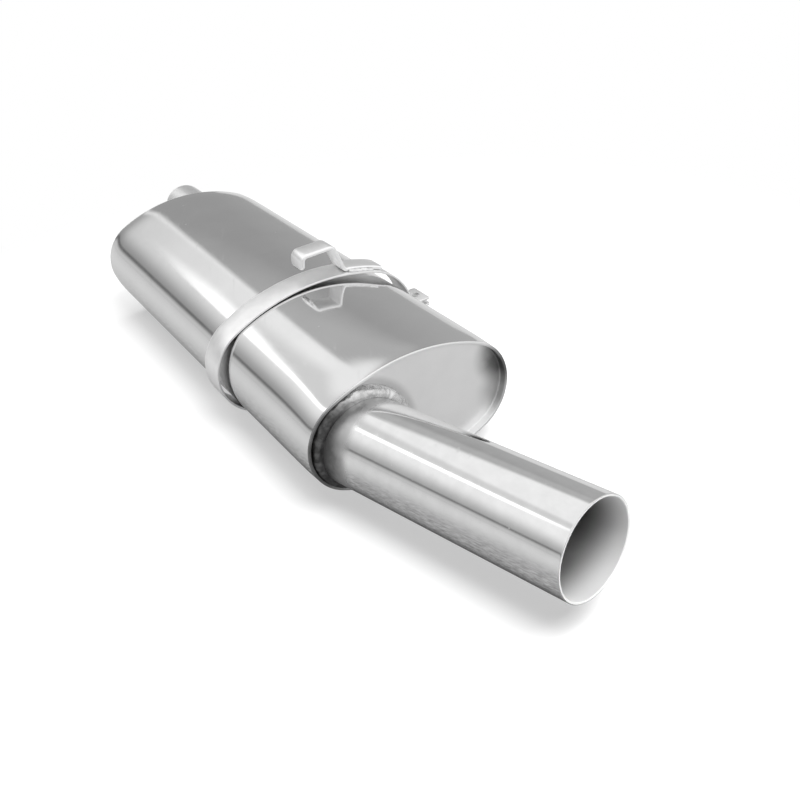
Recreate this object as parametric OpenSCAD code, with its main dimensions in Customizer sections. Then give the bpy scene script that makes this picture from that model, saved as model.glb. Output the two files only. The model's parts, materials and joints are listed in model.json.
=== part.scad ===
// Rear muffler: a long oval body with an inlet pipe at one end, a large tail pipe at the other,
// and a loose strap clamp that carries the hanger. Inside, two perforated tubes and two plain
// return tubes run through three baffles, with packing wool between them.
// Millimetres. The origin is the centre of the inlet pipe's open end. X runs along the gas flow,
// Y across the body, Z up through its short side.

/* [Body] */
// Full width of the oval body
body_w = 190; // [170:1:240]
// Full height of the oval body
body_h = 113; // [106:0.5:126]
// Radius of the oval's narrow sides
body_side_r = 45.5; // [40:0.5:48]
// Length of the body from rim to rim
body_len = 481; // [380:1:700]
// Thickness of the shell's sheet
shell_t = 1.2; // [0.8:0.1:2]
// Width of the lap seam along the shell
lap_w = 14; // [8:1:24]

/* [End caps] */
// Thickness of the caps' sheet
cap_t = 1.2; // [0.8:0.1:2]
// Depth of the caps' flat face behind the rim
cap_recess = 7; // [5:0.5:14]
// Radius of the caps' inner corner
cap_corner_r = 1.5; // [1:0.1:1.8]
// Radius of the edges of the lip that covers the shell's end
lip_edge_r = 0.5; // [0.2:0.1:0.5]

/* [Inlet pipe] */
// Outer diameter of the inlet pipe
inlet_d = 50; // [44:1:52]
// Wall of the inlet pipe
inlet_wall = 1.5; // [1:0.1:2.5]
// Length of the inlet pipe outside the rim
inlet_stub = 120; // [50:1:200]
// Length of the inlet pipe inside the cap
inlet_reach = 14; // [12:1:40]
// Distance of the inlet pipe from the body's centre line
inlet_offset = 43; // [38:1:48]

/* [Tail pipe] */
// Outer diameter of the tail pipe
tail_d = 76; // [64:1:80]
// Wall of the tail pipe
tail_wall = 2; // [1.2:0.1:3]
// Length of the tail pipe from the cap's face along its axis
tail_len = 224; // [120:1:320]
// Distance of the tail pipe's root from the body's centre line
tail_offset = 45.8; // [40:0.1:48]
// Drop of the tail pipe's root below the body's centre line
tail_drop = 5.1; // [0:0.1:6.5]
// Sideways angle of the tail pipe
tail_yaw = 12.3; // [0:0.1:16]
// Upward angle of the tail pipe
tail_pitch = 2.3; // [0:0.1:5]
// Length of the wider bore at the tail pipe's root
tail_relief_len = 12; // [10:1:20]
// How much larger the radius of that wider bore is
tail_relief = 0.5; // [0.2:0.1:0.8]

/* [Welds] */
// Leg of the weld bead round the tail pipe
tail_bead = 9; // [5:0.5:12]
// Leg of the weld bead round the inlet pipe
inlet_bead = 5; // [3:0.5:8]
// Leg of the weld beads along the hanger's foot
foot_bead = 3.2; // [2:0.1:3.3]

/* [Strap] */
// Width of the strap
strap_w = 28.4; // [20:0.1:40]
// Thickness of the strap
strap_t = 2; // [1.5:0.1:4]
// Distance of the strap's middle behind the outlet rim
strap_back = 170.8; // [80:0.1:240]
// Gap between the strap and the body's left side
strap_gap_left = 4.82; // [2:0.01:8]
// Gap between the strap and the body's right side
strap_gap_right = 5.5; // [2:0.1:8]
// Gap between the strap and the body at the strap's crown
strap_gap_top = 1.9; // [1.5:0.1:4]
// Distance of the strap's crown from the body's centre line
strap_shift = 7.3; // [0:0.1:12]
// How much larger the radius of the strap's arch is than that of the body's
strap_arch_more = 19.825; // [10:0.005:40]
// Gap between the two lugs
lug_gap = 4; // [3:0.5:16]
// Length of the lugs past their bend
lug_len = 16.5; // [15:0.5:30]
// Radius of the lugs' bend, on its middle line
lug_bend_r = 4; // [3:0.5:8]
// Diameter of the bolt hole in the lugs
lug_hole_d = 9; // [6:0.5:11]
// Distance of the bolt hole from the lugs' free edge
lug_hole_edge = 8.5; // [7:0.5:10]
// Radius of the lugs' corners
lug_corner_r = 3; // [1:0.5:6]

/* [Hanger] */
// Width of the hanger's flat bar
bar_w = 21.6; // [16:0.1:28]
// Thickness of the hanger's flat bar
bar_t = 4; // [3:0.1:6]
// Length of the foot on the strap's arch
foot_len = 26.7; // [20:0.1:30]
// Length of the foot past the arch, on the strap's right side
foot_tail = 8.4; // [4:0.1:14]
// Middle radius of the bends
bar_bend_r = 5; // [4:0.5:8]
// Lean of the upright from the vertical
upright_lean = 18.5; // [5:0.1:30]
// Straight length of the upright
upright_len = 19.4; // [10:0.1:40]
// Straight length of the arm
arm_len = 22.2; // [15:0.1:50]
// Length of the turned-down tip
tip_len = 8; // [4:0.5:16]
// Angle that the tip turns down
tip_turn = 82; // [40:1:90]
// Radius of the tip's corners
tip_corner_r = 5; // [2:0.5:7]

/* [Inside] */
// Distance of the outer baffles from the rims
baffle_inset = 80; // [50:1:110]
// Thickness of the baffles' sheet
baffle_t = 1.5; // [1:0.1:2.5]
// Width of the baffles' flange
baffle_flange = 9; // [5:0.5:14]
// Wall of the perforated tubes
core_wall = 1; // [0.8:0.1:2]
// Length of each tube that stands past an outer baffle
core_overhang = 22; // [10:1:35]
// Diameter of the perforations
perf_d = 5; // [3:0.5:7]
// Distance between rows of perforations
perf_pitch = 24; // [14:1:40]
// Number of perforations round the tube
perf_round = 6; // [4:2:8]
// Outer diameter of the return tubes
return_d = 34; // [24:1:36]
// Wall of the return tubes
return_wall = 1.2; // [0.8:0.1:2]
// Height of the return tubes above and below the centre line
return_height = 27; // [26:0.5:30]
// Thickness of the steel wool sleeves
wrap_t = 3; // [2:0.5:5]

/* [Fits] */
// Gap between sheets that are folded or pushed together
sheet_gap = 0.1; // [0.05:0.05:0.3]
// Gap round tubes, sleeves and wool
seat_gap = 0.2; // [0.1:0.05:0.4]

/* [Hidden] */
$fn = 96;
// Arcs of sheet that follow each other differ by this much, so that they join
join_step = 0.01;
// How far a cut runs past what it cuts
cut_past = 1;
// Angle between the lap seam and the lower end of the side's arc
lap_below = 3;
lip_flats = 2;
corner_flats = 3;
face_lap = 2;
// Place and height of the tail weld's shoulder, as shares of its leg
bead_shoulder = [0.7, 0.6];
// Distance between the inlet cap and the perforated tube on the inlet pipe
core_start = 2;
far = 400;

// The oval is four arcs: two narrow sides and two broad arches that meet them smoothly
side_c = body_w / 2 - body_side_r;
arch_r = (pow(body_w / 2, 2) - body_w * body_side_r + pow(body_h / 2, 2)) / (body_h - 2 * body_side_r);
arch_c = arch_r - body_h / 2;
side_turn = atan2(arch_c, side_c);

// Places along the body, measured from the inlet end's rim
shell_from = cap_t + sheet_gap;
cap_floor = cap_recess + cap_t;
wall_in = shell_t + sheet_gap;
cap_in = wall_in + cap_t;
front_x = baffle_inset;
rear_x = body_len - baffle_inset;
centre_x = body_len / 2;

// Tubes inside
inlet_r = inlet_d / 2;
core_in_r = inlet_r + seat_gap;
core_r = core_in_r + core_wall;
core_bore_r = core_r + seat_gap;
return_r = return_d / 2;
wrap_in_r = core_r + seat_gap;
wrap_r = wrap_in_r + wrap_t;
return_y = (inlet_offset - tail_offset) / 2;

// Tail pipe
tail_r = tail_d / 2;

// Strap loop: one arch over the body and one under it, joined by a left arc and a right arc.
// Each side arc reaches its outermost place at the body's middle height and meets the arch
// smoothly, and that sets its radius
function side_arc_r(reach) = (pow(strap_arch_r, 2) - pow(strap_arch_z, 2) - pow(reach, 2))
    / (2 * (strap_arch_r - reach));
left_reach = body_w / 2 + strap_gap_left + strap_t;
right_reach = body_w / 2 + strap_gap_right + strap_t;
strap_arch_r = arch_r + strap_arch_more;
strap_arch_z = body_h / 2 + strap_gap_top + strap_t - strap_arch_r;
strap_left_r = side_arc_r(left_reach + strap_shift);
strap_right_r = side_arc_r(right_reach - strap_shift);
strap_left_c = strap_left_r - left_reach;
strap_right_c = right_reach - strap_right_r;
left_join = atan2(-strap_arch_z, strap_left_c - strap_shift);
right_join = atan2(-strap_arch_z, strap_right_c - strap_shift);
lug_mid = (lug_gap + strap_t) / 2;
lug_turn_r = strap_right_r - strap_t / 2 + lug_bend_r;
lug_join = asin((lug_mid + lug_bend_r) / lug_turn_r);
strap_x = body_len - strap_back;

// Hanger's foot: it starts on the strap's right side and runs on over the arch
foot_gap = sheet_gap + bar_t / 2;
tail_sweep = foot_tail / strap_right_r * 180 / PI;
foot_sweep = foot_len / strap_arch_r * 180 / PI;
rise_turn = right_join + foot_sweep - upright_lean;
arm_turn = 90 - upright_lean;

// Puts a shape drawn in the oval's plane, with Z along the body, into the part's own frame
module along_body(x = 0) {
    translate([inlet_stub + x, -inlet_offset, 0]) rotate([90, 0, 90]) children();
}

// Turns a profile round an arc's centre. The profile's x is its distance from the centre
module arc(centre, from, turn) {
    translate([centre[0], centre[1], 0]) rotate([0, 0, from]) rotate_extrude(angle = turn) children();
}

// Runs a profile round the whole oval. In the profile, x = 0 is the shell's outer face and
// negative x is inward; y is along the body. The arcs are cut along lines that run from the
// sides' centres out through the places where two arcs meet
module round_oval() {
    ray_y = side_c + far * cos(side_turn);
    ray_z = far * sin(side_turn);
    for (side = [0, 1]) mirror([side, 0, 0]) intersection() {
        translate([side_c, 0, 0]) rotate_extrude()
            translate([body_side_r - join_step, 0]) children();
        translate([0, 0, -far]) linear_extrude(3 * far)
            polygon([[side_c, 0], [ray_y, -ray_z], [ray_y, ray_z]]);
    }
    for (side = [0, 1]) mirror([0, side, 0]) intersection() {
        translate([0, -arch_c, 0]) rotate_extrude() translate([arch_r, 0]) children();
        translate([0, 0, -far]) linear_extrude(3 * far)
            polygon([[side_c, 0], [ray_y, ray_z], [-ray_y, ray_z], [-side_c, 0]]);
    }
}

// A solid oval plate, its edge set in from the shell's outer face. The arcs leave its middle
// open, and a block fills that
module oval_plate(inset, thick) {
    open_r = 1;
    block_y = side_c + 3 * open_r;
    block_z = body_h / 2 - body_side_r + 3 * open_r;
    round_oval() translate([open_r - body_side_r, 0]) square([body_side_r - open_r - inset, thick]);
    translate([-block_y, -block_z, 0]) cube([2 * block_y, 2 * block_z, thick]);
}

// A round bar along the body at a place in the oval's plane
module rod(place, r, from, len) {
    translate([place[0], place[1], from]) cylinder(r = r, h = len);
}

inlet_place = [inlet_offset, 0];
outlet_place = [-tail_offset, -tail_drop];
upper_place = [return_y, return_height];
lower_place = [return_y, -return_height];

// Rolled oval tube with a narrow lap seam low on the side that faces away
module body_shell() {
    lap_turn = lap_w / body_side_r * 180 / PI;
    lap_from = lap_below - side_turn;
    shell_len = body_len - 2 * shell_from;
    color("gainsboro") along_body() {
        round_oval() translate([-shell_t, shell_from]) square([shell_t, shell_len]);
        arc([side_c, 0], lap_from, lap_turn) translate([body_side_r - shell_t / 2, shell_from])
            square([1.5 * shell_t, shell_len]);
    }
}

// Points along a bend that is rolled in short flats
function bend(centre, r, from, to, flats) = [for (i = [0 : flats])
    let (angle = from + (to - from) * i / flats) centre + r * [cos(angle), sin(angle)]];

// Section of a cap: lip over the shell's end, wall, inner corner and the outer part of the
// flat face. y = 0 is the rim and the cap's face lies at cap_recess
module cap_section() {
    outer_edge = [-lip_edge_r, lip_edge_r];
    inner_edge = [lip_edge_r - cap_in, lip_edge_r];
    corner = [-cap_in - cap_corner_r, cap_recess - cap_corner_r];
    polygon(concat(
        [[-wall_in, cap_t], [0, cap_t]],
        bend(outer_edge, lip_edge_r, 0, -90, lip_flats),
        bend(inner_edge, lip_edge_r, -90, -180, lip_flats),
        bend(corner, cap_corner_r, 0, 90, corner_flats),
        [[corner[0] - face_lap, cap_recess], [corner[0] - face_lap, cap_floor]],
        bend(corner, cap_corner_r + cap_t, 90, 0, corner_flats)));
}

// A pressed cap with its rim at z = 0 and one round hole
module end_cap(place, hole_r) {
    difference() {
        union() {
            round_oval() cap_section();
            translate([0, 0, cap_recess]) oval_plate(cap_in + cap_corner_r + face_lap / 2, cap_t);
        }
        rod(place, hole_r, cap_recess - cut_past, cap_t + 2 * cut_past);
    }
}

module inlet_end_cap() {
    color("gainsboro") along_body() end_cap(inlet_place, inlet_r + seat_gap);
}

module outlet_end_cap() {
    color("silver") along_body(body_len) mirror([0, 0, 1]) end_cap(outlet_place, core_bore_r);
}

// Plain tube through the inlet cap
module inlet_pipe() {
    len = inlet_stub + cap_floor + inlet_reach;
    color("lightgray") along_body() difference() {
        rod(inlet_place, inlet_r, -inlet_stub, len);
        rod(inlet_place, inlet_r - inlet_wall, -inlet_stub - cut_past, len + 2 * cut_past);
    }
}

// Puts a shape with its axis along Z on the tail pipe's axis, from its root on the cap's face
module along_tail() {
    translate([inlet_stub + body_len - cap_recess, -inlet_offset - tail_offset, -tail_drop])
        rotate([0, 0, tail_yaw]) rotate([0, 90 - tail_pitch, 0]) children();
}

// Everything on the body's side of the outlet cap's face
module behind_face(gap = 0) {
    translate([inlet_stub + body_len - cap_recess + gap - far, -far / 2 - inlet_offset, -far / 2])
        cube([far, far, far]);
}

// Straight tube, mitred where it meets the cap, its bore a little wider there for the weld
module tail_pipe() {
    color("whitesmoke") difference() {
        along_tail() difference() {
            translate([0, 0, -tail_r]) cylinder(r = tail_r, h = tail_len + tail_r);
            translate([0, 0, -tail_r - cut_past]) {
                cylinder(r = tail_r - tail_wall, h = tail_len + tail_r + 2 * cut_past);
                cylinder(r = tail_r - tail_wall + tail_relief, h = tail_r + cut_past + tail_relief_len);
            }
        }
        behind_face(sheet_gap);
    }
}

// The room inside the outlet cap's wall and corner
module cap_room() {
    along_body(body_len) mirror([0, 0, 1]) {
        translate([0, 0, -far / 2])
            oval_plate(cap_in + sheet_gap, cap_recess - cap_corner_r + far / 2);
        translate([0, 0, cap_recess - cap_corner_r - sheet_gap])
            oval_plate(cap_in + cap_corner_r, cap_corner_r);
    }
}

// Broad bead round the root, cut by the cap's face and wall. The ring is centred where the
// slanting pipe is at half the bead's height
module tail_pipe_weld() {
    top_r = tail_r + tail_bead / 4;
    lean = tail_bead / 2 * tan(tail_yaw);
    color("darkgray") intersection() {
        difference() {
            translate([inlet_stub + body_len - cap_recess + sheet_gap,
                lean - inlet_offset - tail_offset, -tail_drop])
                rotate([0, 90, 0]) rotate_extrude() polygon([[0, 0], [tail_r + tail_bead, 0],
                    [tail_r, 0] + tail_bead * bead_shoulder, [top_r, tail_bead], [0, tail_bead]]);
            along_tail() translate([0, 0, -tail_r])
                cylinder(r = tail_r + sheet_gap, h = tail_len + tail_r);
        }
        cap_room();
    }
}

// Ring bead on the inlet cap's outer face, inside its recess
module inlet_weld() {
    start = inlet_r + sheet_gap;
    color("darkgray") along_body() translate([inlet_offset, 0, cap_recess - sheet_gap])
        mirror([0, 0, 1]) rotate_extrude() intersection() {
            translate([start, 0]) circle(r = inlet_bead);
            translate([start, 0]) square(inlet_bead);
        }
}

// A flat strip is bent along a list of steps. Each step is [length] for a straight or
// [radius, angle] for a bend, with a positive angle to the left. A place on it is
// [y, z, heading]
function bend_centre(at, step) = let (left = sign(step[1]) * step[0])
    [at[0] - left * sin(at[2]), at[1] + left * cos(at[2])];
function next_place(at, step) = len(step) == 1
    ? [at[0] + step[0] * cos(at[2]), at[1] + step[0] * sin(at[2]), at[2]]
    : let (centre = bend_centre(at, step), left = sign(step[1]) * step[0], to = at[2] + step[1])
        [centre[0] + left * sin(to), centre[1] - left * cos(to), to];
function places(at, steps, i = 0) = i == len(steps)
    ? [at]
    : concat([at], places(next_place(at, steps[i]), steps, i + 1));

// A point beside the strip at one of its places, on the left for a positive distance
function beside(at, distance) = [at[0] - distance * sin(at[2]), at[1] + distance * cos(at[2])];

// Two steps that follow each other are cut along one line across the strip, so that they join,
// and every other step is a hair thinner
module bent_strip(start, steps, thick, wide) {
    at = places(start, steps);
    cut_w = thick / 2 + cut_past;
    for (i = [0 : len(steps) - 1]) {
        from = at[i];
        to = at[i + 1];
        step = steps[i];
        bent = len(step) == 2;
        sheet = thick - i % 2 * 2 * join_step;
        centre = bent ? bend_centre(from, step) : [0, 0];
        middle = bent ? from[2] + step[1] / 2 : 0;
        reach = bent ? sign(step[1]) * 3 * (step[0] + thick) : 0;
        tip = [centre[0] + reach * sin(middle), centre[1] - reach * cos(middle)];
        out = bent ? -sign(step[1]) * cut_w : cut_w;
        intersection() {
            if (bent) translate([centre[0], centre[1], 0]) rotate_extrude()
                translate([step[0] - sheet / 2, -wide / 2]) square([sheet, wide]);
            else translate([from[0], from[1], 0]) rotate([0, 0, from[2]])
                translate([-cut_past, -sheet / 2, -wide / 2])
                    cube([step[0] + 2 * cut_past, sheet, wide]);
            translate([0, 0, -wide]) linear_extrude(2 * wide) polygon(concat(
                [beside(from, -out), beside(from, out)], bent ? [tip] : [],
                [beside(to, out), beside(to, -out)], bent ? [centre] : []));
        }
    }
}

// Cuts both corners off a strip's end, in short flats that start just outside its faces
module round_corners(at, thick, wide, corner_r) {
    centre = [2 * join_step - corner_r, wide / 2 + 2 * join_step - corner_r];
    translate([at[0], at[1], 0]) rotate([90, 0, at[2]])
        for (side = [0, 1]) mirror([0, side, 0]) translate([0, 0, -thick])
            linear_extrude(2 * thick) polygon(concat(
                [[cut_past, wide / 2 + cut_past], [centre[0], wide / 2 + cut_past]],
                bend(centre, corner_r, 90, 0, corner_flats), [[cut_past, centre[1]]]));
}

// Upper half of the strap, from the middle of its left side over the body to its lug
module half_strap() {
    mid = strap_t / 2;
    start = [mid - left_reach, 0, 90];
    steps = [
        [strap_left_r - mid, left_join - 180],
        [strap_arch_r - mid, right_join - left_join],
        [strap_right_r - mid, lug_join - right_join],
        [lug_bend_r, 90 - lug_join],
        [lug_len]];
    lug_end = places(start, steps)[len(steps)];
    difference() {
        bent_strip(start, steps, strap_t, strap_w);
        round_corners(lug_end, strap_t, strap_w, lug_corner_r);
        translate([lug_end[0] - lug_hole_edge, lug_end[1] - strap_t, 0]) rotate([-90, 0, 0])
            cylinder(d = lug_hole_d, h = 2 * strap_t);
    }
}

// Flat band round the body, its two ends bent out as lugs with a bolt hole through both
module strap_band() {
    color("silver") along_body(strap_x) for (half = [0, 1]) mirror([0, half, 0]) half_strap();
}

// Flat bar: foot along the strap, upright, arm over the body and a turned-down tip
module hanger_bracket() {
    foot_r = strap_right_r + foot_gap;
    foot_turn = right_join - tail_sweep;
    start = [strap_right_c + foot_r * cos(foot_turn), foot_r * sin(foot_turn), 90 + foot_turn];
    steps = [
        [foot_r, tail_sweep],
        [strap_arch_r + foot_gap, foot_sweep],
        [bar_bend_r, -rise_turn],
        [upright_len],
        [bar_bend_r, arm_turn],
        [arm_len],
        [bar_bend_r, tip_turn],
        [tip_len]];
    color("silver") along_body(strap_x) difference() {
        bent_strip(start, steps, bar_t, bar_w);
        round_corners(places(start, steps)[len(steps)], bar_t, bar_w, tip_corner_r);
    }
}

// Bead along one edge of the foot, as far as the foot follows the arch
module foot_weld() {
    along_body(strap_x) translate([0, 0, bar_w / 2 + sheet_gap])
        arc([strap_shift, strap_arch_z], right_join, foot_sweep) intersection() {
            translate([strap_arch_r + sheet_gap, 0]) circle(r = foot_bead);
            translate([strap_arch_r + sheet_gap, 0]) square(foot_bead);
        }
}

module hanger_weld_front() {
    color("darkgray") foot_weld();
}

module hanger_weld_rear() {
    color("darkgray") translate([2 * (inlet_stub + strap_x), 0, 0]) mirror([1, 0, 0]) foot_weld();
}

// Perforated tube along the body, with rows of holes between two places
module core(place, from, to, perf_from, perf_to) {
    rows = floor((perf_to - perf_from) / perf_pitch);
    start = (perf_from + perf_to - (rows - 1) * perf_pitch) / 2;
    difference() {
        rod(place, core_r, from, to - from);
        rod(place, core_in_r, from - cut_past, to - from + 2 * cut_past);
        for (row = [0 : rows - 1], turn = [0 : perf_round / 2 - 1])
            translate([place[0], place[1], start + row * perf_pitch])
                rotate([0, 90, (turn + (row % 2) / 2) * 360 / perf_round])
                    cylinder(d = perf_d, h = 2 * (core_r + cut_past), center = true);
    }
}

perf_from = front_x + baffle_t + perf_d;
perf_to = rear_x - baffle_t - perf_d;

// Slides over the inlet pipe's inner end and opens into the rear chamber
module inlet_core() {
    color("lightsteelblue") along_body()
        core(inlet_place, cap_floor + core_start, rear_x + core_overhang, perf_from, perf_to);
}

// Opens in the front chamber and ends in the outlet cap's hole
module outlet_core() {
    color("lightsteelblue") along_body()
        core(outlet_place, front_x - core_overhang, body_len - cap_recess, perf_from, perf_to);
}

module return_tube(place) {
    from = front_x - core_overhang / 2;
    len = rear_x - front_x + core_overhang;
    color("lightgray") along_body() difference() {
        rod(place, return_r, from, len);
        rod(place, return_r - return_wall, from - cut_past, len + 2 * cut_past);
    }
}

module return_tube_upper() {
    return_tube(upper_place);
}

module return_tube_lower() {
    return_tube(lower_place);
}

// Cuts for all four tubes, each with its clearance
module tube_bores(from, len, core_gap) {
    for (place = [inlet_place, outlet_place]) rod(place, core_r + core_gap, from, len);
    for (place = [upper_place, lower_place]) rod(place, return_r + seat_gap, from, len);
}

// Oval plate with a flange along its edge, centred on its place along the body
module baffle(x) {
    flange_in = wall_in + baffle_t;
    color("lightslategray") along_body(x - baffle_t / 2) difference() {
        union() {
            oval_plate(wall_in, baffle_t);
            round_oval() translate([-flange_in, 0]) square([baffle_t, baffle_flange]);
        }
        tube_bores(-cut_past, baffle_flange + 2 * cut_past, seat_gap);
    }
}

module front_baffle() {
    baffle(front_x);
}

module centre_baffle() {
    baffle(centre_x);
}

module rear_baffle() {
    baffle(rear_x);
}

// Packing wool between two baffles, round the sleeves and the return tubes
module wool(from, to) {
    start = from + baffle_t / 2 + seat_gap;
    end = to - baffle_t / 2 - seat_gap;
    color("khaki") along_body(start) difference() {
        union() {
            oval_plate(wall_in + baffle_t + seat_gap, end - start);
            translate([0, 0, baffle_flange]) oval_plate(shell_t + seat_gap, end - start - baffle_flange);
        }
        tube_bores(-cut_past, end - start + 2 * cut_past, seat_gap + wrap_t + seat_gap);
    }
}

module wool_front() {
    wool(front_x, centre_x);
}

module wool_rear() {
    wool(centre_x, rear_x);
}

// Steel wool sleeve round a perforated tube between two baffles
module wrap(place, from, to) {
    start = from + baffle_t / 2 + seat_gap;
    end = to - baffle_t / 2 - seat_gap;
    color("dimgray") along_body() difference() {
        rod(place, wrap_r, start, end - start);
        rod(place, wrap_in_r, start - cut_past, end - start + 2 * cut_past);
    }
}

module inlet_wrap_front() {
    wrap(inlet_place, front_x, centre_x);
}

module inlet_wrap_rear() {
    wrap(inlet_place, centre_x, rear_x);
}

module outlet_wrap_front() {
    wrap(outlet_place, front_x, centre_x);
}

module outlet_wrap_rear() {
    wrap(outlet_place, centre_x, rear_x);
}

body_shell();
inlet_end_cap();
outlet_end_cap();
inlet_pipe();
tail_pipe();
inlet_weld();
tail_pipe_weld();
strap_band();
hanger_bracket();
hanger_weld_front();
hanger_weld_rear();
inlet_core();
outlet_core();
return_tube_upper();
return_tube_lower();
front_baffle();
centre_baffle();
rear_baffle();
wool_front();
wool_rear();
inlet_wrap_front();
inlet_wrap_rear();
outlet_wrap_front();
outlet_wrap_rear();
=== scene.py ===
import json
import math

import bmesh
import bpy
from mathutils import Matrix, Vector, noise


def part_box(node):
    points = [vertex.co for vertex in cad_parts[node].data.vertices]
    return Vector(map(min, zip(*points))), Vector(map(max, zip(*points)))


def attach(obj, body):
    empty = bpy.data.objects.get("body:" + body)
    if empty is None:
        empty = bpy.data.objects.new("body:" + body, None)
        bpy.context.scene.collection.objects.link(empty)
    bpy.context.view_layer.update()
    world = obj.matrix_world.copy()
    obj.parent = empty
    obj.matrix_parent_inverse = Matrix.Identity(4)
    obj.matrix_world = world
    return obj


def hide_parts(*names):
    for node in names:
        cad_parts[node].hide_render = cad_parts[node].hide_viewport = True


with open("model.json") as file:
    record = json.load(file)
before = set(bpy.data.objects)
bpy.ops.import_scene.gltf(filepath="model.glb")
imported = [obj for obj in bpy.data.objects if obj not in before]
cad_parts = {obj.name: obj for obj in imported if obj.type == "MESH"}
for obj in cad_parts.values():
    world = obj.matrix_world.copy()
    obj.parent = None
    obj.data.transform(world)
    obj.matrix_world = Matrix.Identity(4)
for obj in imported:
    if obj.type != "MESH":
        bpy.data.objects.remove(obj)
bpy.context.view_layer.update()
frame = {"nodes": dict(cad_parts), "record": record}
nodes = frame["nodes"]
slots = {part["node"]: part["material_slot"] for part in frame["record"]["subparts"]}
print("frame loaded with", len(nodes), "pieces")

mm = 0.001          # sizes below are in millimetres
sheetGap = 0.1      # left between pieces that are welded or rest on each other
samePoint = 1e-8    # metres; points closer than this become one


def linkMesh(name, points, faces):
    mesh = bpy.data.meshes.new(name)
    mesh.from_pydata([Vector(p) * mm for p in points], [], faces)
    work = bmesh.new()
    work.from_mesh(mesh)
    bmesh.ops.remove_doubles(work, verts=work.verts, dist=samePoint)
    bmesh.ops.recalc_face_normals(work, faces=work.faces)
    work.to_mesh(mesh)
    work.free()
    piece = bpy.data.objects.new(name, mesh)
    bpy.context.scene.collection.objects.link(piece)
    return piece


def rowPiece(name, rows, rowsMeet=False, capEnds=False):
    # rows are closed loops of points; each is joined to the next by quads
    count = len(rows[0])
    faces = []
    for i in range(len(rows) if rowsMeet else len(rows) - 1):
        a = i * count
        b = (i + 1) % len(rows) * count
        for j in range(count):
            k = (j + 1) % count
            faces.append((a + j, a + k, b + k, b + j))
    if capEnds:
        last = (len(rows) - 1) * count
        faces.append(tuple(range(count)))
        faces.append(tuple(last + j for j in range(count)))
    return linkMesh(name, [p for row in rows for p in row], faces)


def smoothPiece(piece, crisp):
    # smooth shading; edges that bend more than this many degrees stay crisp
    work = bmesh.new()
    work.from_mesh(piece.data)
    for face in work.faces:
        face.smooth = True
    for edge in work.edges:
        edge.smooth = edge.calc_face_angle(0.0) < math.radians(crisp)
    work.to_mesh(piece.data)
    work.free()


def spread(low, high, count):
    return [low + (high - low) * i / (count - 1) for i in range(count)]


def quarterTurn(cx, cy, r, start, steps):
    turns = [math.radians(start + 90 * i / steps) for i in range(steps + 1)]
    return [(cx + r * math.cos(a), cy + r * math.sin(a)) for a in turns]


def placePiece(piece, material, node, standsFor=True, crisp=30.0):
    smoothPiece(piece, crisp)
    piece.data.materials.append(material)
    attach(piece, "root")
    if standsFor:
        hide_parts(node)


# short ways to make a material's nodes

def newMaterial(name):
    material = bpy.data.materials.new(name)
    material.use_nodes = True
    tree = material.node_tree
    return material, tree, tree.nodes["Principled BSDF"]


def plug(tree, socket, value):
    if isinstance(value, (int, float)):
        socket.default_value = value
    elif isinstance(value, tuple):
        socket.default_value = (*value, 1.0) if len(socket.default_value) == 4 else value
    else:
        tree.links.new(value, socket)


def calc(tree, operation, a, b=0.0, clamp=False):
    node = tree.nodes.new("ShaderNodeMath")
    node.operation = operation
    node.use_clamp = clamp
    plug(tree, node.inputs[0], a)
    plug(tree, node.inputs[1], b)
    return node.outputs[0]


def ranged(tree, value, fromLow, fromHigh, low=0.0, high=1.0, soft=False):
    node = tree.nodes.new("ShaderNodeMapRange")
    node.interpolation_type = "SMOOTHSTEP" if soft else "LINEAR"
    for key, number in (("From Min", fromLow), ("From Max", fromHigh), ("To Min", low),
                        ("To Max", high)):
        plug(tree, node.inputs[key], number)
    plug(tree, node.inputs["Value"], value)
    return node.outputs["Result"]


def blend(tree, share, first, second):
    node = tree.nodes.new("ShaderNodeMix")
    node.data_type = "RGBA"
    sockets = {s.name: s for s in node.inputs if s.type == "RGBA"}
    plug(tree, node.inputs[0], share)
    plug(tree, sockets["A"], first)
    plug(tree, sockets["B"], second)
    return next(s for s in node.outputs if s.type == "RGBA")


def place(tree, stretch=(1.0, 1.0, 1.0), turn=(0.0, 0.0, 0.0)):
    # a point's place in the part's own frame, turned and then stretched
    coords = tree.nodes.new("ShaderNodeTexCoord")
    turned = tree.nodes.new("ShaderNodeMapping")
    turned.inputs["Rotation"].default_value = turn
    tree.links.new(coords.outputs["Object"], turned.inputs["Vector"])
    sized = tree.nodes.new("ShaderNodeMapping")
    sized.inputs["Scale"].default_value = stretch
    tree.links.new(turned.outputs["Vector"], sized.inputs["Vector"])
    return sized.outputs["Vector"]


def speckle(tree, scale, stretch=(1.0, 1.0, 1.0), detail=3.0, rough=0.5,
            turn=(0.0, 0.0, 0.0)):
    # noise with so many waves per metre
    texture = tree.nodes.new("ShaderNodeTexNoise")
    texture.inputs["Scale"].default_value = scale
    texture.inputs["Detail"].default_value = detail
    texture.inputs["Roughness"].default_value = rough
    tree.links.new(place(tree, stretch, turn), texture.inputs["Vector"])
    return texture.outputs["Fac"]


# what all the steels share: the noise's usual span, then scratches, specks and patchy painted
# shade
steelLook = {"span": (0.35, 0.65),
             "scratchScale": 260.0, "scratchStretch": (0.05, 1.0, 0.6),
             "scratchSpan": (0.7, 0.74),
             "speckSize": 0.09, "speckCore": 0.6, "speckDull": 0.3,
             "speckGroup": 3.0, "speckGroupSpan": (0.56, 0.62),
             "patchSpan": (0.3, 0.55), "patchLeast": 0.75}


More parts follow.
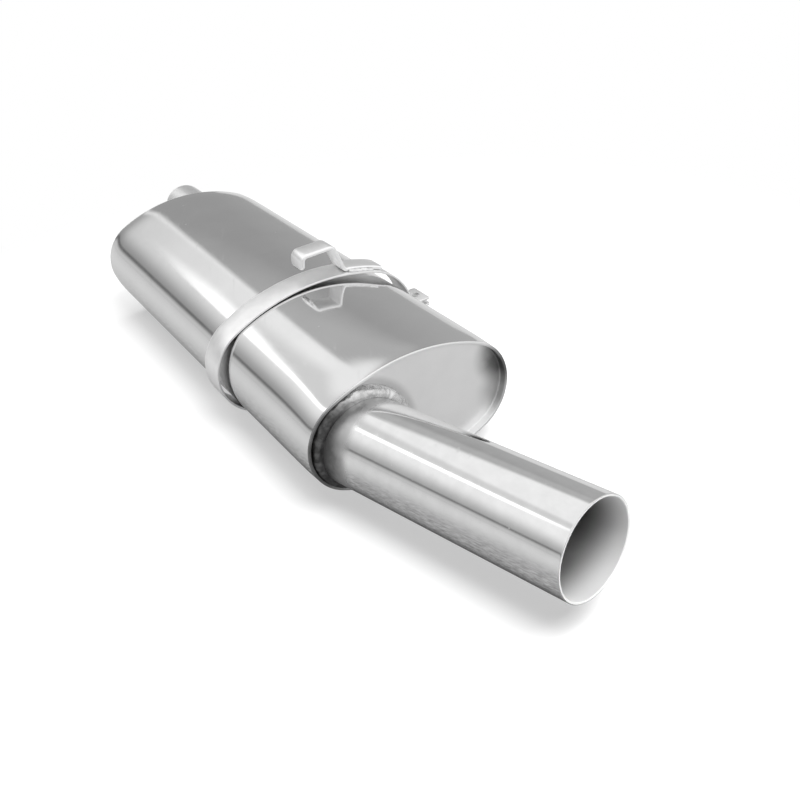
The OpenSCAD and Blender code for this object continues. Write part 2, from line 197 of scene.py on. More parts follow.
def dots(tree, scale):
    # small round specks, so many per metre, gathered in some places only
    look = steelLook
    size = look["speckSize"]
    texture = tree.nodes.new("ShaderNodeTexVoronoi")
    texture.inputs["Scale"].default_value = scale
    tree.links.new(place(tree), texture.inputs["Vector"])
    spot = ranged(tree, texture.outputs["Distance"], size * look["speckCore"], size, 1.0, 0.0)
    some = ranged(tree, speckle(tree, scale / look["speckGroup"]), *look["speckGroupSpan"])
    return calc(tree, "MULTIPLY", spot, some)


def nearPoint(tree, point, inner, outer):
    # 1 within the inner distance from a point, 0 past the outer one, in metres
    node = tree.nodes.new("ShaderNodeVectorMath")
    node.operation = "DISTANCE"
    tree.links.new(place(tree), node.inputs[0])
    node.inputs[1].default_value = point
    return ranged(tree, node.outputs["Value"], inner, outer, 1.0, 0.0, soft=True)


def bumped(tree, shader, layers):
    # each layer is a height and its depth in metres
    last = None
    for height, depth in layers:
        bump = tree.nodes.new("ShaderNodeBump")
        bump.inputs["Strength"].default_value = 1.0
        bump.inputs["Distance"].default_value = depth
        tree.links.new(height, bump.inputs["Height"])
        if last is not None:
            tree.links.new(last, bump.inputs["Normal"])
        last = bump.outputs["Normal"]
    tree.links.new(last, shader.inputs["Normal"])


def steel(name, look):
    material, tree, shader = newMaterial(name)
    shader.inputs["Metallic"].default_value = look.get("metallic", 1.0)
    grey, vary = look["grey"], look["vary"]
    blotch = speckle(tree, look["blotchScale"], detail=4.0)
    shade = ranged(tree, blotch, *steelLook["span"], grey - vary, grey + vary)
    grain = speckle(tree, look["grainScale"], look.get("grainStretch", (1.0, 1.0, 1.0)),
                    detail=4.0, rough=0.6)
    rough = ranged(tree, grain, *steelLook["span"], look["roughLow"], look["roughHigh"])
    if "scratch" in look:
        lines = speckle(tree, steelLook["scratchScale"], steelLook["scratchStretch"],
                        detail=1.0, turn=look["scratch"])
        mark = ranged(tree, lines, *steelLook["scratchSpan"])
        rough = calc(tree, "ADD", rough, calc(tree, "MULTIPLY", mark, look["scratchDull"]))
    if "specks" in look:
        spot = dots(tree, look["specks"])
        rough = calc(tree, "ADD", rough, calc(tree, "MULTIPLY", spot, steelLook["speckDull"]))
    # painted shade: darker and duller near each given place, made patchy by the blotch noise
    for point, inner, outer, dark, dull in look.get("paintedShade", ()):
        near = calc(tree, "MULTIPLY", nearPoint(tree, point, inner, outer),
                    ranged(tree, blotch, *steelLook["patchSpan"], steelLook["patchLeast"], 1.0))
        shade = calc(tree, "MULTIPLY", shade, ranged(tree, near, 0.0, 1.0, 1.0, dark))
        rough = calc(tree, "ADD", rough, calc(tree, "MULTIPLY", near, dull))
    colour = tree.nodes.new("ShaderNodeCombineColor")
    for key in ("Red", "Green", "Blue"):
        tree.links.new(shade, colour.inputs[key])
    tree.links.new(colour.outputs["Color"], shader.inputs["Base Color"])
    tree.links.new(rough, shader.inputs["Roughness"])
    wave = speckle(tree, look["waveScale"], detail=1.0)
    bumped(tree, shader, [(wave, look["waveDepth"]), (grain, look["grainDepth"])])
    return material


# where the body, its rims and the tail pipe's root are; x along the body, z up

oval = {"wide": 190.0, "high": 113.0, "sideR": 45.5, "long": 481.0, "inletStub": 120.0,
        "inletOffset": 43.0, "sideSteps": 64, "archSteps": 84}
# two narrow side arcs and two broad arches that run on from them
ovalHalfWide, ovalHalfHigh = oval["wide"] / 2, oval["high"] / 2
sideC = ovalHalfWide - oval["sideR"]
archR = (ovalHalfWide ** 2 - oval["wide"] * oval["sideR"] + ovalHalfHigh ** 2) \
    / (oval["high"] - 2 * oval["sideR"])
archC = archR - ovalHalfHigh
sideTurn = math.atan2(archC, sideC)
farRim = oval["inletStub"]
nearRim = farRim + oval["long"]

capLook = {"sheet": 1.2, "recess": 7.0, "cornerR": 1.5, "lipEdgeR": 0.5, "wallIn": 1.3,
           "outletHoleR": 26.4, "inletHoleR": 25.2, "dish": 0.25, "dishSize": 60.0,
           "dishLayer": 3.0, "arcSteps": 6, "faceRings": 26, "backEvery": 5}
tailLook = {"outR": 38.0, "wall": 2.0, "long": 224.0, "offset": 45.8, "drop": 5.1,
            "yaw": 12.3, "pitch": 2.3, "reliefLong": 12.0, "relief": 0.5, "edgeR": 0.55,
            "deepShadeAt": 110.0, "round": 288, "rows": 90, "innerRows": 40, "reliefRows": 6,
            "edgeSteps": 6}
yaw = math.radians(tailLook["yaw"])
pitch = math.radians(tailLook["pitch"])
tailAxis = Vector((math.cos(pitch) * math.cos(yaw), math.cos(pitch) * math.sin(yaw),
                   math.sin(pitch)))
tailSide = Vector((-math.sin(yaw), math.cos(yaw), 0.0))
tailUp = tailAxis.cross(tailSide)
tailRoot = Vector((nearRim - capLook["recess"], -oval["inletOffset"] - tailLook["offset"],
                   -tailLook["drop"]))

# finishes; a painted shade is a place, its inner and outer reach in metres, how dark and how dull

# painted shade: a ring round the tail pipe's root, one side of that root, the outlet cap's recess
# corner and wall, and deep inside the tail pipe
rootRingShade = tuple(tailRoot * mm)
rootSideShade = (0.600, -0.130, 0.0)
capCornerShade = (0.598, 0.050, 0.016)
capWallShade = (0.598, 0.046, -0.015)
deepPipeShade = tuple((tailRoot + tailAxis * tailLook["deepShadeAt"]) * mm)    # inside the pipe

shellFinish = {"grey": 0.72, "vary": 0.012, "blotchScale": 25.0,
               "grainScale": 700.0, "grainStretch": (0.15, 1.0, 1.0),
               "roughLow": 0.05, "roughHigh": 0.11, "grainDepth": 0.0000015,
               "waveScale": 12.0, "waveDepth": 0.00008,
               "scratch": (0.0, 0.0, 0.5), "scratchDull": 0.08, "specks": 90.0}
tailFinish = {"grey": 0.74, "vary": 0.02, "blotchScale": 90.0,
              "grainScale": 800.0, "grainStretch": (0.1, 1.0, 1.0),
              "roughLow": 0.045, "roughHigh": 0.1, "grainDepth": 0.0000015,
              "waveScale": 18.0, "waveDepth": 0.00008,
              "scratch": (0.3, 0.0, 0.9), "scratchDull": 0.1, "specks": 140.0,
              # painted shade round the tail pipe's root and on one side of it
              "paintedShade": ((rootRingShade, 0.0425, 0.0485, 0.72, 0.3),
                        (rootSideShade, 0.014, 0.032, 0.35, 0.15))}
mouthFinish = {"grey": 0.85, "vary": 0.02, "blotchScale": 12.0, "metallic": 0.5,
               "grainScale": 500.0, "grainStretch": (0.3, 1.0, 1.0),
               "roughLow": 0.29, "roughHigh": 0.33, "grainDepth": 0.0000005,
               "waveScale": 30.0, "waveDepth": 0.0001,
               # painted shade deep inside the tail pipe
               "paintedShade": ((deepPipeShade, 0.083, 0.116, 0.14, 0.05),)}
capFinish = {"grey": 0.91, "vary": 0.015, "blotchScale": 40.0,
             "grainScale": 1200.0, "roughLow": 0.36, "roughHigh": 0.44,
             "grainDepth": 0.000002, "waveScale": 16.0, "waveDepth": 0.00012,
             # painted shade round the tail pipe's root, beside it, and in the cap's recess corner
             # and wall
             "paintedShade": ((rootRingShade, 0.049, 0.056, 0.72, 0.08),
                       (rootSideShade, 0.030, 0.054, 0.3, 0.1),
                       (capCornerShade, 0.010, 0.030, 0.2, 0.1),
                       (capWallShade, 0.006, 0.026, 0.6, 0.1))}
pipeFinish = {"grey": 0.84, "vary": 0.02, "blotchScale": 60.0,
              "grainScale": 1400.0, "roughLow": 0.3, "roughHigh": 0.4,
              "grainDepth": 0.000006, "waveScale": 20.0, "waveDepth": 0.0001}
strapFinish = {"grey": 0.91, "vary": 0.03, "blotchScale": 90.0,
               "grainScale": 900.0, "grainStretch": (1.0, 0.06, 0.06),
               "roughLow": 0.36, "roughHigh": 0.46, "grainDepth": 0.0000015,
               "waveScale": 50.0, "waveDepth": 0.00006}
hangerFinish = {"grey": 0.93, "vary": 0.02, "blotchScale": 120.0,
                "grainScale": 700.0, "roughLow": 0.34, "roughHigh": 0.42,
                "grainDepth": 0.000001, "waveScale": 60.0, "waveDepth": 0.00008}
weldFinish = {"grey": 0.62, "vary": 0.14, "blotchScale": 160.0,
              "grainScale": 700.0, "roughLow": 0.2, "roughHigh": 0.4,
              "grainDepth": 0.00001, "waveScale": 260.0, "waveDepth": 0.00015,
              # painted shade on one side of the tail pipe's root
              "paintedShade": ((rootSideShade, 0.034, 0.058, 0.12, 0.15),)}
footWeldFinish = {"grey": 0.76, "vary": 0.12, "blotchScale": 200.0,
                  "grainScale": 1000.0, "roughLow": 0.22, "roughHigh": 0.42,
                  "grainDepth": 0.00003, "waveScale": 300.0, "waveDepth": 0.0002}
innerFinish = {"grey": 0.5, "vary": 0.06, "blotchScale": 70.0,
               "grainScale": 900.0, "roughLow": 0.35, "roughHigh": 0.55,
               "grainDepth": 0.00001, "waveScale": 30.0, "waveDepth": 0.0001}

shellSteel = steel("shellSteel", shellFinish)
tailSteel = steel("tailSteel", tailFinish)
mouthSteel = steel("mouthSteel", mouthFinish)
capSteel = steel("capSteel", capFinish)
pipeSteel = steel("pipeSteel", pipeFinish)
strapSteel = steel("strapSteel", strapFinish)
hangerSteel = steel("hangerSteel", hangerFinish)
weldSteel = steel("weldSteel", weldFinish)
footWeldSteel = steel("footWeldSteel", footWeldFinish)
innerSteel = steel("innerSteel", innerFinish)

woolFinish = {"dark": (0.5, 0.44, 0.3), "pale": (0.8, 0.75, 0.6), "rough": 0.95,
              "strands": 500.0, "stretch": (1.0, 3.0, 0.6), "span": (0.35, 0.65),
              "fluff": 0.001}


def makeWool():
    look = woolFinish
    material, tree, shader = newMaterial("packingWool")
    strands = speckle(tree, look["strands"], look["stretch"], detail=6.0, rough=0.7)
    colour = blend(tree, ranged(tree, strands, *look["span"]), look["dark"], look["pale"])
    tree.links.new(colour, shader.inputs["Base Color"])
    shader.inputs["Roughness"].default_value = look["rough"]
    bumped(tree, shader, [(strands, look["fluff"])])
    return material


slotFinishes = {"polished_steel": shellSteel, "satin_steel": pipeSteel, "weld_steel": weldSteel,
                "inner_steel": innerSteel, "packing_wool": makeWool()}
for nodeName, slotName in slots.items():
    nodes[nodeName].data.materials.clear()
    nodes[nodeName].data.materials.append(slotFinishes[slotName])
print("finishes set")


def ovalArcs():
    # for each point round the oval: its arc's centre, radius and direction
    quarter = math.pi / 2
    arcs = ((sideC, 0.0, oval["sideR"], 0.0, sideTurn, oval["sideSteps"]),
            (0.0, -archC, archR, quarter, quarter - sideTurn, oval["archSteps"]),
            (-sideC, 0.0, oval["sideR"], 2 * quarter, sideTurn, oval["sideSteps"]),
            (0.0, archC, archR, 3 * quarter, quarter - sideTurn, oval["archSteps"]))
    out = []
    for cy, cz, r, middle, half, steps in arcs:
        for i in range(steps):
            turn = middle - half + 2 * half * i / steps
            out.append((cy, cz, r, math.cos(turn), math.sin(turn)))
    return out


ovalRays = ovalArcs()

shellLook = {
    "sheet": 1.2, "endGap": 1.3,
    "rows": 150, "rowsCrowd": 0.9, "innerEvery": 3,        # rows lie closer near the rims
    "rimPull": 0.75, "farPull": 1.4,                       # the rims draw in the sheet
    "rimPullReach": 13.0, "rimPullPower": 1.5,
    "rootPull": 1.15, "rootPullReach": 30.0,               # so does the tail pipe's root
    "rootPullAt": (-48.0, 40.0), "rootPullWide": 46.0,
    "ripple": 0.035, "rippleSize": 70.0,
    "lapFrom": -62.0, "lapWide": 14.0, "lapProud": 1.2, "lapEdgeR": 0.4,
    "lapRound": 0.5, "lapSteps": 9, "lapRows": 100}        # lapFrom, lapRound in degrees


def sheetSink(x, y, z):
    # how far the sheet is drawn in at a place, y from the body's middle
    look = shellLook
    sink = 0.0
    for rim, pull in ((nearRim, look["rimPull"]), (farRim, look["farPull"])):
        away = abs(rim - x) / look["rimPullReach"]
        sink += pull * math.exp(-away ** look["rimPullPower"])
    py, pz = look["rootPullAt"]
    side = math.hypot(y - py, z - pz) / look["rootPullWide"]
    away = (nearRim - x) / look["rootPullReach"]
    sink += look["rootPull"] * math.exp(-away * away - side * side)
    return sink + look["ripple"] * noise.noise(Vector((x, y, z)) / look["rippleSize"])


def ovalLoop(x, inset):
    # the body's oval, set in from the shell's outer face
    row = []
    for cy, cz, r, c, s in ovalRays:
        depth = inset + sheetSink(x, cy + r * c, cz + r * s)
        row.append((x, cy + (r - depth) * c - oval["inletOffset"], cz + (r - depth) * s))
    return row


def makeShell():
    look = shellLook
    start = farRim + look["endGap"]
    end = nearRim - look["endGap"]
    places = []
    for t in spread(0.0, 1.0, look["rows"]):
        crowd = look["rowsCrowd"] * math.sin(2 * math.pi * t) / (2 * math.pi)
        places.append(start + (end - start) * (t - crowd))
    rows = [ovalLoop(x, 0.0) for x in places]
    inner = places[:-1:look["innerEvery"]] + [places[-1]]
    rows += [ovalLoop(x, look["sheet"]) for x in reversed(inner)]
    shell = rowPiece("bodyShell", rows, rowsMeet=True)
    placePiece(shell, shellSteel, "body_shell")


def makeLapSeam():
    look = shellLook
    start = farRim + look["endGap"] + sheetGap
    end = nearRim - look["endGap"] - sheetGap
    half = math.degrees(look["lapWide"] / 2 / oval["sideR"])
    buried = oval["sideR"] - look["sheet"] / 2
    top = oval["sideR"] + look["lapProud"]
    edge = look["lapEdgeR"]
    flat = half - look["lapRound"]
    # the section, as degrees from the lap's middle and distance from the side arc's centre
    section = [(-half, buried), (-half, top - edge)]
    section += [(turn, top) for turn in spread(-flat, flat, look["lapSteps"])]
    section += [(half, top - edge), (half, buried)]
    rows = []
    for x in spread(start, end, look["lapRows"]):
        row = []
        for turn, out in section:
            turn = math.radians(look["lapFrom"] + half + turn)
            c, s = math.cos(turn), math.sin(turn)
            out -= sheetSink(x, sideC + out * c, out * s)
            row.append((x, sideC + out * c - oval["inletOffset"], out * s))
        rows.append(row)
    lap = rowPiece("lapSeam", rows, capEnds=True)
    placePiece(lap, shellSteel, "body_shell", standsFor=False)


def makeCap(name, node, rim, inward, hole, holeR):
    look = capLook
    capIn = look["wallIn"] + look["sheet"]
    corner = capIn + look["cornerR"]
    edge = look["lipEdgeR"]
    deep = look["recess"] + look["sheet"]
    back = look["cornerR"] + look["sheet"]
    cornerDepth = look["recess"] - look["cornerR"]
    arc = spread(0.0, math.pi / 2, look["arcSteps"])
    # the section, as inset from the shell's outer face and depth from the rim
    section = [(look["wallIn"], look["sheet"]), (0.0, look["sheet"])]
    section += [(edge - edge * math.cos(a), edge - edge * math.sin(a)) for a in arc]
    section += [(capIn - edge + edge * math.sin(a), edge - edge * math.cos(a)) for a in arc]
    section += [(corner - look["cornerR"] * math.cos(a),
                 cornerDepth + look["cornerR"] * math.sin(a)) for a in arc]
    rows = [ovalLoop(rim + inward * depth, inset) for inset, depth in section]

    def faceRing(depth, share):
        # a ring between the corner and the hole, the face slightly uneven
        ring = []
        for x, y, z in ovalLoop(rim + inward * depth, corner):
            dy, dz = y - hole[0], z - hole[1]
            scale = 1 + (holeR / math.hypot(dy, dz) - 1) * share
            y, z = hole[0] + dy * scale, hole[1] + dz * scale
            uneven = look["dish"] * math.sin(math.pi * share)
            uneven *= noise.noise(Vector((y, z, look["dishLayer"])) / look["dishSize"])
            ring.append((x + inward * uneven, y, z))
        return ring

    shares = spread(0.0, 1.0, look["faceRings"])
    rows += [faceRing(look["recess"], share) for share in shares[1:]]
    rows += [faceRing(deep, share) for share in reversed(shares[::look["backEvery"]])]
    rows += [ovalLoop(rim + inward * (cornerDepth + back * math.sin(a)),
                      corner - back * math.cos(a)) for a in reversed(arc[:-1])]
    cap = rowPiece(name, rows, rowsMeet=True)
    placePiece(cap, capSteel, node, crisp=50.0)


makeShell()
makeLapSeam()
makeCap("outletEndCap", "outlet_end_cap", nearRim, inward=-1.0,
        hole=(-oval["inletOffset"] - tailLook["offset"], -tailLook["drop"]),
        holeR=capLook["outletHoleR"])
makeCap("inletEndCap", "inlet_end_cap", farRim, inward=1.0, hole=(0.0, 0.0),
        holeR=capLook["inletHoleR"])
print("body made")


def tailRing(r, along, mitred=1.0):
    # mitred along the cap's face where mitred is 1, square across where it is 0
    count = tailLook["round"]
    row = []
    for i in range(count):
        turn = 2 * math.pi * i / count
        out = tailSide * math.cos(turn) + tailUp * math.sin(turn)
        first = (sheetGap - r * out.x) / tailAxis.x
        row.append(tuple(tailRoot + tailAxis * (along + first * mitred) + out * r))
    return row


def makeTailPipe():
    look = tailLook
    outR = look["outR"]
    inR = outR - look["wall"]
    end = look["long"]
    edge = look["edgeR"]
    wide = inR + look["relief"]
    relief = look["reliefLong"]
    arc = spread(0.0, math.pi / 2, look["edgeSteps"])
    rows = [tailRing(outR, x, 1 - x / end) for x in spread(0.0, end - 2 * edge, look["rows"])]
    rows += [tailRing(outR - edge + edge * math.cos(a), end - edge + edge * math.sin(a), 0.0)
             for a in arc]
    rows += [tailRing(inR + edge - edge * math.sin(a), end - edge + edge * math.cos(a), 0.0)
             for a in arc]
    rows += [tailRing(inR, x, 1 - x / end)
             for x in spread(end - 2 * edge, relief, look["innerRows"])]
    rows += [tailRing(wide, x, 1 - x / end)
             for x in spread(relief - look["relief"], 0.0, look["reliefRows"])]
    tail = rowPiece("tailPipe", rows, rowsMeet=True)
    placePiece(tail, tailSteel, "tail_pipe", crisp=50.0)
    # the inside has a finish of its own
    tail.data.materials.append(mouthSteel)
    for face in tail.data.polygons:
        away = face.center / mm - tailRoot
        across = away - tailAxis * away.dot(tailAxis)
        if across.length < wide + edge:
            face.material_index = 1


inletLook = {"outR": 25.0, "wall": 1.5, "long": 142.2, "edgeR": 0.4, "round": 96, "rows": 20,
             "edgeSteps": 5}


def makeInletPipe():
    look = inletLook
    outR = look["outR"]
    inR = outR - look["wall"]
    edge = look["edgeR"]
    arc = spread(0.0, math.pi / 2, look["edgeSteps"])
    profile = [(outR, x) for x in spread(look["long"], 2 * edge, look["rows"])]
    profile += [(outR - edge + edge * math.cos(a), edge - edge * math.sin(a)) for a in arc]
    profile += [(inR + edge - edge * math.sin(a), edge - edge * math.cos(a)) for a in arc]
    profile += [(inR, x) for x in spread(2 * edge, look["long"], look["rows"])]
    turns = spread(0.0, 2 * math.pi, look["round"] + 1)[:-1]
    rows = [[(x, r * math.cos(t), r * math.sin(t)) for t in turns] for r, x in profile]
    pipe = rowPiece("inletPipe", rows, rowsMeet=True)
    placePiece(pipe, pipeSteel, "inlet_pipe", crisp=40.0)


makeTailPipe()
makeInletPipe()
print("pipes made")

# ripples and lumps of the beads; a bead stays a little under its leg, so that lumps have room
weldLook = {
    "rippleStep": 4.6, "rippleHigh": 0.3, "rippleMiddle": 0.6, "rippleBow": 1.5,
    "lump": 1.1, "lumpSize": 7.0, "fine": 0.35, "fineSize": 2.8, "smallLift": 0.5,
    "tailLeg": 9.0, "tailUnderOut": 0.2, "tailUnderAlong": 0.8, "tailFullOut": 0.8,
    "tailFullAlong": 0.9, "tailFade": 0.6, "tailRound": 420, "tailAcross": 22,
    "inletLeg": 5.0, "inletUnder": 0.5, "inletRound": 240, "inletAcross": 12,
    "footLeg": 3.2, "footUnder": 0.4, "footBlunt": 8, "footEnd": 0.04, "footRows": 71,
    "footAcross": 9}


def beadLift(point, along):
    # overlapping ripples with hand-laid lumps
    look = weldLook
    ripple = math.sqrt(along / look["rippleStep"] % 1.0) - look["rippleMiddle"]
    ripple *= look["rippleHigh"]
    lump = look["lump"] * noise.noise(point / look["lumpSize"])
    return ripple + lump + look["fine"] * noise.noise(point / look["fineSize"])


def keepInCap(point, inset):
    # moves a point in from the cap's wall
    y = point.y + oval["inletOffset"]
    z = point.z
    if abs(y) > sideC and abs(math.atan2(z, abs(y) - sideC)) <= sideTurn:
        cy, cz, r = math.copysign(sideC, y), 0.0, oval["sideR"]
    else:
        cy, cz, r = 0.0, -math.copysign(archC, z), archR
    r -= inset + sheetSink(point.x, y, z)
    away = math.hypot(y - cy, z - cz)
    if away > r:
        y = cy + (y - cy) * r / away
        z = cz + (z - cz) * r / away
    return Vector((point.x, y - oval["inletOffset"], z))


def keepOffPipe(point, r):
    # moves a point out to the tail pipe's outside
    away = point - tailRoot
    along = away.dot(tailAxis)
    across = away - tailAxis * along
    if across.length < r:
        return tailRoot + tailAxis * along + across.normalized() * r
    return point


def makeTailWeld():
    look = weldLook
    leg = look["tailLeg"]
    outR = tailLook["outR"]
    centre = tailRoot + Vector((sheetGap, leg / 2 * math.tan(yaw), 0.0))
    forward = Vector((1.0, 0.0, 0.0))
    capIn = capLook["wallIn"] + capLook["sheet"] + sheetGap
    rows = []
    for i in range(look["tailRound"]):
        turn = 2 * math.pi * i / look["tailRound"]
        out = Vector((0.0, math.cos(turn), math.sin(turn)))
        along = turn * (outR + leg / 2)
        row = []
        for j in range(look["tailAcross"]):
            # from the foot on the cap to the top on the pipe
            share = j / (look["tailAcross"] - 1)
            a = share * math.pi / 2
            wide = (leg - look["tailUnderOut"]) * math.cos(a) ** look["tailFullOut"]
            rise = math.sin(a) ** look["tailFullAlong"]
            point = centre + out * (outR + wide) + forward * (leg - look["tailUnderAlong"]) * rise
            lift = beadLift(point, along + look["rippleBow"] * math.sin(2 * a))
            lift *= math.sin(math.pi * share) ** look["tailFade"]
            row.append(point + (out * math.cos(a) + forward * math.sin(a)) * lift)
        row.append(centre + out * outR)
        rows.append([tuple(keepOffPipe(keepInCap(p, capIn), outR + sheetGap)) for p in row])
    bead = rowPiece("tailPipeWeld", rows, rowsMeet=True)
    placePiece(bead, weldSteel, "tail_pipe_weld", crisp=60.0)


def makeInletWeld():
    look = weldLook
    leg = look["inletLeg"] - look["inletUnder"]
    outR = inletLook["outR"] + sheetGap
    face = Vector((farRim + capLook["recess"] - sheetGap, 0.0, 0.0))
    back = Vector((-1.0, 0.0, 0.0))
    rows = []
    for i in range(look["inletRound"]):
        turn = 2 * math.pi * i / look["inletRound"]
        out = Vector((0.0, math.cos(turn), math.sin(turn)))
        row = []
        for a in spread(0.0, math.pi / 2, look["inletAcross"]):
            ray = out * math.cos(a) + back * math.sin(a)
            point = face + out * outR + ray * leg
            lift = ray * beadLift(point, turn * outR) * math.sin(2 * a) * look["smallLift"]
            row.append(tuple(point + lift))
        row.append(tuple(face + out * outR))
        rows.append(row)
    bead = rowPiece("inletWeld", rows, rowsMeet=True)
    placePiece(bead, weldSteel, "inlet_weld", crisp=60.0)


makeTailWeld()
makeInletWeld()
print("pipe welds made")

strapLook = {"wide": 28.4, "thick": 2.0, "back": 170.8, "gapLeft": 4.82, "gapRight": 5.5,
             "gapTop": 1.9, "shift": 7.3, "archMore": 19.825, "lugGap": 4.0, "lugLong": 16.5,
             "lugBendR": 4.0, "holeR": 4.5, "holeEdge": 8.5, "cornerR": 3.0, "edgeR": 0.45,
             "step": 2.2}
hangerLook = {"wide": 21.6, "thick": 4.0, "footLong": 26.7, "footTail": 8.4, "bendR": 5.0,
              "lean": 18.5, "upright": 19.4, "arm": 22.2, "tip": 8.0, "tipTurn": 82.0,
              "cornerR": 5.0, "edgeR": 1.7, "step": 1.5}
# steps of both bands: the fewest in a straight and a bend, how many times finer they are up
# to a little past the corners, and the steps of an edge and of a quarter of the hole
stripSteps = {"straight": 2, "bend": 8, "finer": 8, "pastCorner": 1.0, "edge": 3, "hole": 12}
strapX = nearRim - strapLook["back"]
bigR = archR + strapLook["archMore"]
bigZ = ovalHalfHigh + strapLook["gapTop"] + strapLook["thick"] - bigR


def sideArc(reach):
    # radius of the strap's side arc that reaches this far and runs on from the arch
    return (bigR ** 2 - bigZ ** 2 - reach ** 2) / (2 * (bigR - reach))


leftReach = ovalHalfWide + strapLook["gapLeft"] + strapLook["thick"]
rightReach = ovalHalfWide + strapLook["gapRight"] + strapLook["thick"]
leftR = sideArc(leftReach + strapLook["shift"])
rightR = sideArc(rightReach - strapLook["shift"])
rightC = rightReach - rightR
leftJoin = math.degrees(math.atan2(-bigZ, leftR - leftReach - strapLook["shift"]))
rightJoin = math.degrees(math.atan2(-bigZ, rightC - strapLook["shift"]))


def stripPath(y, z, heading, steps, fine):
    # walks along straights (length,) and bends (radius, degrees)
    heading = math.radians(heading)
    walked = 0.0
    out = [(y, z, heading, walked)]
    for step in steps:
        if len(step) == 1:
            count = max(stripSteps["straight"], round(step[0] / fine))
            for d in spread(0.0, step[0], count + 1)[1:]:
                out.append((y + d * math.cos(heading), z + d * math.sin(heading), heading,
                            walked + d))
        else:
            r, turn = step[0], math.radians(step[1])
            left = math.copysign(r, turn)
            cy = y - left * math.sin(heading)
            cz = z + left * math.cos(heading)
            count = max(stripSteps["bend"], round(r * abs(turn) / fine))
            for t in spread(0.0, turn, count + 1)[1:]:
                h = heading + t
                out.append((cy + left * math.sin(h), cz - left * math.cos(h), h,
                            walked + r * abs(t)))
        y, z, heading, walked = out[-1]
    return out


def finerEnds(path, corner, start=True):
    # more places close to the ends, so that their corners come out round
    reach = corner + stripSteps["pastCorner"]
    total = path[-1][3]
    finer = stripSteps["finer"]
    out = []
    for a, b in zip(path, path[1:]):
        middle = (a[3] + b[3]) / 2
        close = total - middle < reach or (start and middle < reach)
        for i in range(finer if close else 1):
            out.append(tuple(p + (q - p) * i / finer for p, q in zip(a, b)))
    return out + [path[-1]]


def stripRows(path, look, startRound=True):
    # the band's section at each place, rounded at its edges and at the ends' corners
    total = path[-1][3]
    corner, edge = look["cornerR"], look["edgeR"]
    rows = []
    for y, z, heading, walked in path:
        near = min(total - walked, walked if startRound else total)
        halfWide, halfThick = look["wide"] / 2, look["thick"] / 2
        if near < corner:
            halfWide -= corner - math.sqrt(corner ** 2 - (corner - near) ** 2)
        if near < edge:
            halfThick -= edge - math.sqrt(edge ** 2 - (edge - near) ** 2)
        wide, thick = halfWide - edge, halfThick - edge
        section = []
        for sx, st, turn in ((1, 1, 0), (-1, 1, 90), (-1, -1, 180), (1, -1, 270)):
            section += quarterTurn(sx * wide, st * thick, edge, turn, stripSteps["edge"])
        rows.append([(strapX + dx, y - dt * math.sin(heading) - oval["inletOffset"],
                      z + dt * math.cos(heading)) for dx, dt in section])
    return rows


def drillHole(piece, x, y, r, reach):
    # a round hole straight down through the piece
    ring = [p for start in (0, 90, 180, 270)
            for p in quarterTurn(x, y, r, start, stripSteps["hole"])[:-1]]
    drill = rowPiece("drill", [[(*p, -reach) for p in ring], [(*p, reach) for p in ring]],
                     capEnds=True)
    cut = piece.modifiers.new("hole", "BOOLEAN")
    cut.object = drill
    cut.solver = "EXACT"
    graph = bpy.context.evaluated_depsgraph_get()
    drilled = bpy.data.meshes.new_from_object(piece.evaluated_get(graph))
    piece.modifiers.clear()
    piece.data = drilled
    bpy.data.objects.remove(drill)


def makeStrap():
    look = strapLook
    mid = look["thick"] / 2
    lugMid = look["lugGap"] / 2 + mid
    lugTurn = math.degrees(math.asin((lugMid + look["lugBendR"])
                                     / (rightR - mid + look["lugBendR"])))
    steps = [(leftR - mid, leftJoin - 180), (bigR - mid, rightJoin - leftJoin),
             (rightR - mid, lugTurn - rightJoin), (look["lugBendR"], 90 - lugTurn),
             (look["lugLong"],)]
    upper = stripPath(mid - leftReach, 0.0, 90.0, steps, look["step"])
    total = upper[-1][3]
    lower = [(y, -z, math.pi - heading, total - walked)
             for y, z, heading, walked in reversed(upper)]
    path = lower[:-1] + [(y, z, heading, total + walked) for y, z, heading, walked in upper]
    strap = rowPiece("strapBand", stripRows(finerEnds(path, look["cornerR"]), look),
                     capEnds=True)
    drillHole(strap, strapX, upper[-1][0] - look["holeEdge"] - oval["inletOffset"],
              look["holeR"], 2 * look["lugGap"])
    placePiece(strap, strapSteel, "strap_band", crisp=35.0)


def makeHanger():
    look = hangerLook
    mid = look["thick"] / 2
    footR = rightR + sheetGap + mid
    tailSweep = math.degrees(look["footTail"] / rightR)
    footSweep = math.degrees(look["footLong"] / bigR)
    turn = math.radians(rightJoin - tailSweep)
    steps = [(footR, tailSweep), (bigR + sheetGap + mid, footSweep),
             (look["bendR"], look["lean"] - rightJoin - footSweep), (look["upright"],),
             (look["bendR"], 90 - look["lean"]), (look["arm"],),
             (look["bendR"], look["tipTurn"]), (look["tip"],)]
    path = stripPath(rightC + footR * math.cos(turn), footR * math.sin(turn),
                     90 + rightJoin - tailSweep, steps, look["step"])
    path = finerEnds(path, look["cornerR"], start=False)
    hanger = rowPiece("hangerBracket", stripRows(path, look, startRound=False), capEnds=True)
    placePiece(hanger, hangerSteel, "hanger_bracket", crisp=40.0)


